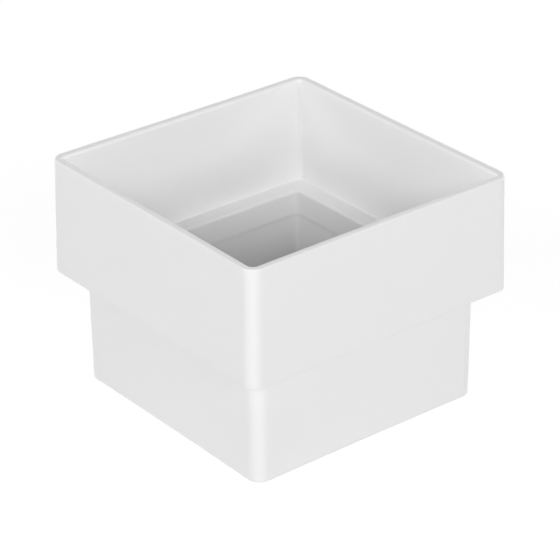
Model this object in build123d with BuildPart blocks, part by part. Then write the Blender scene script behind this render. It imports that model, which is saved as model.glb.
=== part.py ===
from build123d import *
import os

# Square downpipe connector, moulded in one piece: a socket that takes the end of the
# upper pipe, over a narrower spigot that pushes into the lower pipe.
# Millimetres, +Z up, origin at the centre of the spigot's open end.

# The square pipe that the connector joins
pipe_width = 65.0             # outside, across the flats
pipe_wall = 1.8

# Socket
socket_depth = 25.2           # rim down to the ledge that stops the pipe
mouth_clearance = 0.7         # each side, pipe to wall at the rim
floor_clearance = 0.4         # each side, pipe to wall at the ledge
rim_wall = 1.8
socket_flare = 0.5            # each side, outside, gained from the rim down to the shoulder
socket_corner = 3.0           # outside corner radius
cavity_corner = 1.2           # inside corner radius

# Shoulder, the flat step between the socket and the spigot
shoulder_thickness = 1.7

# Spigot
spigot_length = 26.6          # shoulder down to the open end
root_clearance = 0.05         # each side, spigot to the lower pipe's bore at the shoulder
end_clearance = 0.2           # each side, the same at the open end
spigot_corner = 3.2           # outside corner radius
bore_corner = 1.4             # inside corner radius
end_wall = 1.5

# Throat, the top of the bore, made by the socket's core down to the line where the cores meet
throat_wall = 2.0             # spigot wall at the ledge
throat_depth = 5.8            # ledge down to that line
throat_draft = 0.1            # each side, lost from the ledge down to that line
core_step = 0.2               # each side, how much wider the bore is below that line
core_blend = 0.8              # height over which it widens

# Rounded edges
rim_edge = 0.35
mouth_edge = 0.8              # eases the pipe into the socket
floor_fillet = 0.2
ledge_edge = 0.6
root_fillet = 0.8
end_edge = 0.3

# Widths, across the flats
mouth_width = pipe_width + 2 * mouth_clearance
floor_width = pipe_width + 2 * floor_clearance
rim_width = mouth_width + 2 * rim_wall
shoulder_width = rim_width + 2 * socket_flare
pipe_bore = pipe_width - 2 * pipe_wall
root_width = pipe_bore - 2 * root_clearance
end_width = pipe_bore - 2 * end_clearance
throat_width = root_width - 2 * throat_wall
core_line_width = throat_width - 2 * throat_draft
bore_width = core_line_width + 2 * core_step
bore_end_width = end_width - 2 * end_wall

# Levels above the open end
end_level = 0.0
shoulder_level = end_level + spigot_length
ledge_level = shoulder_level + shoulder_thickness
core_line_level = ledge_level - throat_depth
blend_level = core_line_level - core_blend
rim_level = ledge_level + socket_depth
same_level = 0.01             # how near to a level a face has to lie to be picked by it

# Drafted stages: low level and width, high level and width, corner radius
outer_stages = (
    (end_level, end_width, shoulder_level, root_width, spigot_corner),
    (shoulder_level, shoulder_width, rim_level, rim_width, socket_corner),
)
inner_stages = (
    (ledge_level, floor_width, rim_level, mouth_width, cavity_corner),
    (core_line_level, core_line_width, ledge_level, throat_width, bore_corner),
    (blend_level, bore_width, core_line_level, core_line_width, bore_corner),
    (end_level, bore_end_width, blend_level, bore_width, bore_corner),
)


def flat_face(part, level):
    level_faces = part.faces().filter_by(Axis.Z)
    return level_faces.filter_by_position(Axis.Z, level - same_level, level + same_level)[0]


with BuildPart() as connector_body:
    for stages, mode in ((outer_stages, Mode.ADD), (inner_stages, Mode.SUBTRACT)):
        for low, low_width, high, high_width, corner in stages:
            for level, width in ((low, low_width), (high, high_width)):
                with BuildSketch(Plane.XY.offset(level)):
                    RectangleRounded(width, width, corner)
            loft(ruled=True, mode=mode)

    # Inside corners where the walls meet the flats
    fillet(flat_face(connector_body, shoulder_level).inner_wires().edges(), root_fillet)
    fillet(flat_face(connector_body, ledge_level).outer_wire().edges(), floor_fillet)

    # Outside edges of the flats; the shoulder's is the mould's parting line and stays sharp
    fillet(flat_face(connector_body, ledge_level).inner_wires().edges(), ledge_edge)
    fillet(flat_face(connector_body, rim_level).outer_wire().edges(), rim_edge)
    fillet(flat_face(connector_body, rim_level).inner_wires().edges(), mouth_edge)
    fillet(flat_face(connector_body, end_level).edges(), end_edge)

connector_body.part.label = "connector_body"

os.makedirs("parts", exist_ok=True)
export_step(connector_body.part, "parts/connector_body.step")
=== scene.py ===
import bpy
import math
from mathutils import Matrix, Vector


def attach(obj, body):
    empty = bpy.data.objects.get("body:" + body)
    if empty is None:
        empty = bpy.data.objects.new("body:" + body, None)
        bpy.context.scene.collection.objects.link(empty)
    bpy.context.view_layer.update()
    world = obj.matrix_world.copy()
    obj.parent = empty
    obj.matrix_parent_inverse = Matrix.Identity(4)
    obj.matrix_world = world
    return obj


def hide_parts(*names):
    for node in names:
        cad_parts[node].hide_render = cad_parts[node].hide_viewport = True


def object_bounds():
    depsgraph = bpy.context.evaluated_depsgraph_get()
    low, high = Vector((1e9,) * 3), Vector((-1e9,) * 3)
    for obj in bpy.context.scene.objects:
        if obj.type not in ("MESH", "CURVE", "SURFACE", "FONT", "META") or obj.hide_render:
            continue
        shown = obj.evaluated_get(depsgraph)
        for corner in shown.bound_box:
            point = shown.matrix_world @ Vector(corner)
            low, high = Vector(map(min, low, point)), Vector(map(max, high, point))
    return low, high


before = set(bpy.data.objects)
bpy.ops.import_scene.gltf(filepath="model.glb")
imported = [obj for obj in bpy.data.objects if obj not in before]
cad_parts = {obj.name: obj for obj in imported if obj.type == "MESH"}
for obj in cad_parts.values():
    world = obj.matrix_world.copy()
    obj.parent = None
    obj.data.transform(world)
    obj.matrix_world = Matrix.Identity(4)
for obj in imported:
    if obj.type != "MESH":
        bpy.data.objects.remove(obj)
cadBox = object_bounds()  # box of the solid, before the moulding takes its place
mm = 0.001
print("frame loaded:", sorted(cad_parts))


# node wiring

class Wire:
    def __init__(self, board, socket):
        self.board = board
        self.socket = socket

    def calc(self, operation, *values):
        return self.board.add("ShaderNodeMath", dict(operation=operation), dict(enumerate(values)))

    def __add__(self, other):
        return self.calc("ADD", self, other)

    def __radd__(self, other):
        return self.calc("ADD", other, self)

    def __sub__(self, other):
        return self.calc("SUBTRACT", self, other)

    def __rsub__(self, other):
        return self.calc("SUBTRACT", other, self)

    def __mul__(self, other):
        return self.calc("MULTIPLY", self, other)

    def __rmul__(self, other):
        return self.calc("MULTIPLY", other, self)

    def __truediv__(self, other):
        return self.calc("DIVIDE", self, other)

    def __mod__(self, other):
        return self.calc("FLOORED_MODULO", self, other)

    def __pow__(self, other):
        return self.calc("POWER", self, other)

    def floor(self):
        return self.calc("FLOOR", self)

    def clamped(self):
        return self.board.add("ShaderNodeClamp", None, {"Value": self})


class Board:
    nodeGap = 180  # between nodes in the editor

    def __init__(self, tree):
        self.tree = tree
        self.tree.nodes.clear()

    def add(self, kind, settings=None, sockets=None, out=0):
        node = self.tree.nodes.new(kind)
        node.location.x = self.nodeGap * len(self.tree.nodes)
        for name, value in (settings or {}).items():
            setattr(node, name, value)
        for key, value in (sockets or {}).items():
            if isinstance(value, Wire):
                self.tree.links.new(value.socket, node.inputs[key])
            else:
                node.inputs[key].default_value = value
        return Wire(self, node.outputs[out] if node.outputs else None)

    def also(self, wire, out):  # another output of the same node
        return Wire(self, wire.socket.node.outputs[out])


# connector moulding

moulding = dict(  # millimetres, the same sizes as the solid
    pipeWidth=65.0, pipeWall=1.8,
    socketDepth=25.2, mouthClearance=0.7, floorClearance=0.4, rimWall=1.8, socketFlare=0.5,
    socketCorner=3.0, cavityCorner=1.2,
    shoulderThickness=1.7,
    spigotLength=26.6, rootClearance=0.05, endClearance=0.2,
    spigotCorner=3.2, boreCorner=1.4, endWall=1.5,
    throatWall=2.0, throatDepth=5.8, throatDraft=0.1, coreStep=0.2, coreBlend=0.8,
    rimEdge=0.35, mouthEdge=0.8, floorFillet=0.2, ledgeEdge=0.6, rootFillet=0.8, endEdge=0.3,
    partingEdge=0.1,  # the shoulder's outer edge, sharp in the solid
    supportGap=0.6, supportShare=0.3,  # row of points that keeps the flats flat beside a rounded edge
    sideSteps=14, cornerSteps=12, edgeSteps=6,
    wallSink=0.15,  # how far the free walls draw in at mid side as the plastic cools
    edgeLeast=0.01, mergeGap=0.002,  # smallest radius marked as an edge, and how near points are joined
)


# half width, level, corner radius and edge radius, round the wall from the spigot's end
def sectionCorners(m):
    root = m["pipeWidth"] / 2 - m["pipeWall"] - m["rootClearance"]
    end = m["pipeWidth"] / 2 - m["pipeWall"] - m["endClearance"]
    mouth = m["pipeWidth"] / 2 + m["mouthClearance"]
    rim = mouth + m["rimWall"]
    throat = root - m["throatWall"]
    coreLine = throat - m["throatDraft"]
    shoulder = m["spigotLength"]
    ledge = shoulder + m["shoulderThickness"]
    top = ledge + m["socketDepth"]
    low = ledge - m["throatDepth"]
    return [
        (end, 0, m["spigotCorner"], m["endEdge"]),
        (root, shoulder, m["spigotCorner"], m["rootFillet"]),
        (rim + m["socketFlare"], shoulder, m["socketCorner"], m["partingEdge"]),
        (rim, top, m["socketCorner"], m["rimEdge"]),
        (mouth, top, m["cavityCorner"], m["mouthEdge"]),
        (m["pipeWidth"] / 2 + m["floorClearance"], ledge, m["cavityCorner"], m["floorFillet"]),
        (throat, ledge, m["boreCorner"], m["ledgeEdge"]),
        (coreLine, low, m["boreCorner"], 0),
        (coreLine + m["coreStep"], low - m["coreBlend"], m["boreCorner"], 0),
        (end - m["endWall"], 0, m["boreCorner"], m["endEdge"]),
    ]


def sectionMesh(m):  # closed outline of the wall: x half width, y corner centre, z level
    corners = sectionCorners(m)
    points, edgeRadii = [], []
    for i, (half, level, corner, edge) in enumerate(corners):
        here = Vector((half, level))
        row = [(here, edge)]
        for side, slot in ((-1, 0), (1, 2)):  # a support before the corner and one after it
            nextHalf, nextLevel, _, nextEdge = corners[(i + side) % len(corners)]
            way = Vector((nextHalf, nextLevel)) - here
            step = edge + min(m["supportGap"], m["supportShare"] * (way.length - edge - nextEdge))
            row.insert(slot, (here + way.normalized() * step, 0))
        for place, radius in row:
            points.append(Vector((place.x, half - corner, place.y)) * mm)
            edgeRadii.append(radius * mm)
    mesh = bpy.data.meshes.new("wallSection")
    count = len(points)
    mesh.from_pydata(points, [(i, (i + 1) % count) for i in range(count)], [])
    mesh.attributes.new("edgeRadius", "FLOAT", "POINT").data.foreach_set("value", edgeRadii)
    return mesh


def mouldingTree(m, material):  # carries the wall's section round a rounded square
    tree = bpy.data.node_groups.new("squareMoulding", "GeometryNodeTree")
    board = Board(tree)
    face = tree.interface
    face.new_socket("Section", in_out="INPUT", socket_type="NodeSocketGeometry")
    for name in ("Side Steps", "Corner Steps", "Edge Steps"):
        face.new_socket(name, in_out="INPUT", socket_type="NodeSocketInt")
    for name in ("Wall Sink", "Shoulder Level", "Rim Level"):
        face.new_socket(name, in_out="INPUT", socket_type="NodeSocketFloat")
    face.new_socket("Moulding", in_out="OUTPUT", socket_type="NodeSocketGeometry")
    section = board.add("NodeGroupInput")
    sideSteps, cornerSteps, edgeSteps = [board.also(section, i) for i in (1, 2, 3)]
    sink, shoulder, rim = [board.also(section, i) for i in (4, 5, 6)]

    edge = board.add("GeometryNodeInputNamedAttribute", dict(data_type="FLOAT"), {"Name": "edgeRadius"})
    curve = board.add("GeometryNodeMeshToCurve", None, {"Mesh": section})
    rounding = {"Curve": curve, "Radius": edge, "Count": edgeSteps}
    curve = board.add("GeometryNodeFilletCurve", dict(mode="POLY"), rounding)
    rows = board.add("GeometryNodeAttributeDomainSize", dict(component="CURVE"), {"Geometry": curve})
    quarter = sideSteps * 2 + cornerSteps
    columns = quarter * 4 + 1
    grid = board.add("GeometryNodeMeshGrid", None, {"Vertices X": rows + 1, "Vertices Y": columns})

    index = board.add("GeometryNodeInputIndex")
    row = (index / columns).floor() % rows
    column = index % columns
    turn = (column / quarter).floor()
    along = column % quarter

    def fromSection(kind, value):  # a value of the section's curve, read for this row
        wanted = {"Geometry": curve, "Value": value, "Index": row}
        return board.add("GeometryNodeSampleIndex", dict(data_type=kind), wanted)

    place = fromSection("FLOAT_VECTOR", board.add("GeometryNodeInputPosition"))
    half = board.add("ShaderNodeSeparateXYZ", None, {"Vector": place})
    centre = board.also(half, 1)
    level = board.also(half, 2)
    radius = half - centre

    toCorner = 1 - (1 - (along / sideSteps).clamped()) ** 2  # columns crowd towards the corner
    bend = ((along - sideSteps) / cornerSteps).clamped() * (math.pi / 2)
    fromCorner = ((along - sideSteps - cornerSteps) / sideSteps).clamped() ** 2
    socketFree = ((level - shoulder) / (rim - shoulder)).clamped()
    spigotFree = ((shoulder - level) / shoulder).clamped()
    drawIn = sink * (socketFree + spigotFree)
    x = centre * (1 - fromCorner) + radius * bend.calc("COSINE", bend) - drawIn * (1 - toCorner ** 2)
    y = centre * toCorner + radius * bend.calc("SINE", bend) - drawIn * (1 - (1 - fromCorner) ** 2)
    flat = board.add("ShaderNodeCombineXYZ", None, {"X": x, "Y": y, "Z": level})
    turned = {"Vector": flat, "Angle": turn * (math.pi / 2)}
    spot = board.add("ShaderNodeVectorRotate", dict(rotation_type="Z_AXIS"), turned)

    worn = fromSection("FLOAT", edge)
    rounded = worn.calc("GREATER_THAN", worn, m["edgeLeast"] * mm)
    mark = {"Geometry": grid, "Name": "edgeMark", "Value": rounded}
    shell = board.add("GeometryNodeStoreNamedAttribute", dict(data_type="FLOAT", domain="POINT"), mark)
    shell = board.add("GeometryNodeSetPosition", None, {"Geometry": shell, "Position": spot})
    joined = {"Geometry": shell, "Distance": m["mergeGap"] * mm}
    shell = board.add("GeometryNodeMergeByDistance", None, joined)
    shell = board.add("GeometryNodeFlipFaces", None, {"Mesh": shell})  # so that faces look outwards
    shell = board.add("GeometryNodeSetShadeSmooth", None, {"Geometry": shell, "Shade Smooth": True})
    shell = board.add("GeometryNodeRealizeInstances", None, {"Geometry": shell})
    shell = board.add("GeometryNodeSetMaterial", None, {"Geometry": shell, "Material": material})
    board.add("NodeGroupOutput", None, {"Moulding": shell})
    return tree


def setInput(modifier, name, value):
    for item in modifier.node_group.interface.items_tree:
        if item.name == name and item.in_out == "INPUT":
            modifier[item.identifier] = value


def buildMoulding(m, material):
    shoulder = m["spigotLength"]
    rim = shoulder + m["shoulderThickness"] + m["socketDepth"]
    maker = bpy.data.objects.new("mouldingMaker", sectionMesh(m))
    bpy.context.scene.collection.objects.link(maker)
    nodes = maker.modifiers.new("squareMoulding", "NODES")
    nodes.node_group = mouldingTree(m, material)
    setInput(nodes, "Side Steps", m["sideSteps"])
    setInput(nodes, "Corner Steps", m["cornerSteps"])
    setInput(nodes, "Edge Steps", m["edgeSteps"])
    setInput(nodes, "Wall Sink", m["wallSink"] * mm)
    setInput(nodes, "Shoulder Level", shoulder * mm)
    setInput(nodes, "Rim Level", rim * mm)
    evaluated = maker.evaluated_get(bpy.context.evaluated_depsgraph_get())
    mesh = bpy.data.meshes.new_from_object(evaluated)
    mesh.name = "connectorMoulding"
    mesh.materials.pop(index=0)  # the empty slot that Set Material leaves before its own
    bpy.data.objects.remove(maker)  # the modifier goes with it
    piece = bpy.data.objects.new("connectorMoulding", mesh)
    bpy.context.scene.collection.objects.link(piece)
    return piece


# white plastic

plastic = dict(
    white=(0.92, 0.92, 0.917), cool=(0.898, 0.901, 0.903),
    ior=1.53, gloss=0.26, roughness=0.36,
    mottleScale=55.0, streakScale=(420.0, 420.0, 30.0), peelScale=900.0,
    mottleDetail=4.0, streakDetail=3.0, peelDetail=2.0, noiseMiddle=0.5,
    mottleTint=0.7, streakTint=0.3,
    mottleRough=0.10, streakRough=0.12, edgePolish=0.04,
    peelHeight=0.6, streakHeight=0.4, bumpStrength=0.12, bumpDepth=0.03,  # depth in millimetres
)


def whitePlastic(p):
    material = bpy.data.materials.new("whitePlastic")
    material.use_nodes = True
    board = Board(material.node_tree)
    spot = board.add("ShaderNodeTexCoord", None, None, out="Object")
    stretched = board.add("ShaderNodeMapping", None, {"Vector": spot, "Scale": p["streakScale"]})

    def noise(place, scale, detail):
        sockets = {"Vector": place, "Scale": scale, "Detail": detail}
        return board.add("ShaderNodeTexNoise", None, sockets)

    mottle = noise(spot, p["mottleScale"], p["mottleDetail"])
    streak = noise(stretched, 1.0, p["streakDetail"])  # its scale is in the mapping
    peel = noise(spot, p["peelScale"], p["peelDetail"])
    edge = board.add("ShaderNodeAttribute", dict(attribute_name="edgeMark"), None, out="Fac")
    blend = mottle * p["mottleTint"] + streak * p["streakTint"]
    colours = {0: blend, 6: (*p["cool"], 1), 7: (*p["white"], 1)}  # factor, first and second colour
    tint = board.add("ShaderNodeMix", dict(data_type="RGBA"), colours, out=2)
    middle = p["noiseMiddle"]
    uneven = (mottle - middle) * p["mottleRough"] + (streak - middle) * p["streakRough"]
    rough = p["roughness"] + uneven - edge * p["edgePolish"]
    height = peel * p["peelHeight"] + streak * p["streakHeight"]
    relief = {"Height": height, "Strength": p["bumpStrength"], "Distance": p["bumpDepth"] * mm}
    bump = board.add("ShaderNodeBump", None, relief)
    surface = {"Base Color": tint, "Roughness": rough, "Normal": bump}
    surface.update({"IOR": p["ior"], "Specular IOR Level": p["gloss"]})
    shader = board.add("ShaderNodeBsdfPrincipled", None, surface)
    board.add("ShaderNodeOutputMaterial", None, {"Surface": shader})
    return material


# studio

studio = dict(  # metres and degrees
    floorReach=0.9, floorLevel=-0.00005,  # half a side, and a hair under the spigot's end
    floorColour=(0.55, 0.55, 0.55, 1),
    floorWhite=1.45, floorShare=0.6,  # glow of the floor where it is seen, and its share in the mix
    white=(1, 1, 1, 1), ambient=0.12,  # sky, and how strong it is where it only lights
    lampDistance=1.3, lampAim=0.03,  # from the point at that height on the axis
    lamps=dict(  # azimuth, elevation, width, height, watts
        front=(68, 29, 1.2, 0.3, 7.0),
        frontLeft=(-2, 17, 0.9, 0.3, 4.7), frontRight=(102, 17, 0.9, 0.3, 4.4),
        highLeft=(5, 35, 1.2, 0.3, 3.4),
        back=(230, 20, 1.2, 0.6, 2.0),
        backLeft=(275, 8, 1.2, 0.25, 4.9), backRight=(185, 8, 1.2, 0.25, 4.9),
    ),
)


def direction(azimuth, elevation):  # from the object towards a viewer
    a, e = math.radians(azimuth), math.radians(elevation)
    return Vector((math.sin(a) * math.cos(e), -math.cos(a) * math.cos(e), math.sin(e)))


def seenRay(board):  # 1 for what the camera sees straight, in gloss or through glass
    ray = board.add("ShaderNodeLightPath", None, None, out="Is Camera Ray")
    seen = ray.calc("MAXIMUM", ray, board.also(ray, "Is Glossy Ray"))
    return seen.calc("MAXIMUM", seen, board.also(ray, "Is Transmission Ray"))


def layFloor(s):
    mesh = bpy.data.meshes.new("floor")
    r, z = s["floorReach"], s["floorLevel"]
    mesh.from_pydata([(-r, -r, z), (r, -r, z), (r, r, z), (-r, r, z)], [], [(0, 1, 2, 3)])
    floor = bpy.data.objects.new("floor", mesh)
    bpy.context.scene.collection.objects.link(floor)
    material = bpy.data.materials.new("paleFloor")
    material.use_nodes = True
    board = Board(material.node_tree)
    paper = board.add("ShaderNodeBsdfDiffuse", None, {"Color": s["floorColour"]})
    glow = board.add("ShaderNodeEmission", None, {"Color": s["white"], "Strength": s["floorWhite"]})
    share = seenRay(board) * s["floorShare"]
    mixed = board.add("ShaderNodeMixShader", None, {0: share, 1: paper, 2: glow})
    board.add("ShaderNodeOutputMaterial", None, {"Surface": mixed})
    mesh.materials.append(material)


def lightStudio(s):
    world = bpy.data.worlds.new("studio")
    bpy.context.scene.world = world
    world.use_nodes = True
    board = Board(world.node_tree)
    strength = seenRay(board) * (1 - s["ambient"]) + s["ambient"]
    sky = board.add("ShaderNodeBackground", None, {"Color": s["white"], "Strength": strength})
    board.add("ShaderNodeOutputWorld", None, {"Surface": sky})
    for name, (azimuth, elevation, wide, tall, power) in s["lamps"].items():
        lamp = bpy.data.lights.new(name + "Softbox", "AREA")
        lamp.shape = "RECTANGLE"
        lamp.size = wide
        lamp.size_y = tall
        lamp.energy = power
        softbox = bpy.data.objects.new(name + "Softbox", lamp)
        bpy.context.scene.collection.objects.link(softbox)
        back = direction(azimuth, elevation)
        softbox.location = back * s["lampDistance"] + Vector((0, 0, s["lampAim"]))
        softbox.rotation_euler = back.to_track_quat("Z", "Y").to_euler()


# camera

view = dict(  # metres and degrees
    azimuth=51.404, elevation=27.772, roll=-0.475,
    distance=0.56464, right=0.00048, up=-0.02437,  # from the middle of the rim
    focalPixels=2647.1, framePixels=560, sensor=36.0,
    clipNear=0.01, clipFar=50.0,
)


def setCamera(v, rimLevel):
    back = direction(v["azimuth"], v["elevation"])
    right = Vector((0, 0, 1)).cross(back).normalized()
    up = back.cross(right)
    roll = math.radians(v["roll"])
    across = right * math.cos(roll) + up * math.sin(roll)
    upward = up * math.cos(roll) - right * math.sin(roll)
    data = bpy.data.cameras.new("photoCamera")
    data.sensor_width = v["sensor"]
    data.lens = v["sensor"] * v["focalPixels"] / v["framePixels"]
    data.clip_start = v["clipNear"]
    data.clip_end = v["clipFar"]
    camera = bpy.data.objects.new("photoCamera", data)
    bpy.context.scene.collection.objects.link(camera)
    turn = Matrix((across, upward, back)).transposed().to_4x4()
    place = Vector((0, 0, rimLevel)) + back * v["distance"] + across * v["right"] + upward * v["up"]
    camera.matrix_world = Matrix.Translation(place) @ turn
    bpy.context.scene.camera = camera


bpy.context.scene.view_settings.view_transform = "Standard"
piece = buildMoulding(moulding, whitePlastic(plastic))
print("moulding:", len(piece.data.vertices), "points,", len(piece.data.polygons), "faces")
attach(piece, "root")
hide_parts("connector_body")
layFloor(studio)
lightStudio(studio)
setCamera(view, cadBox[1].z)
print("studio and camera set")
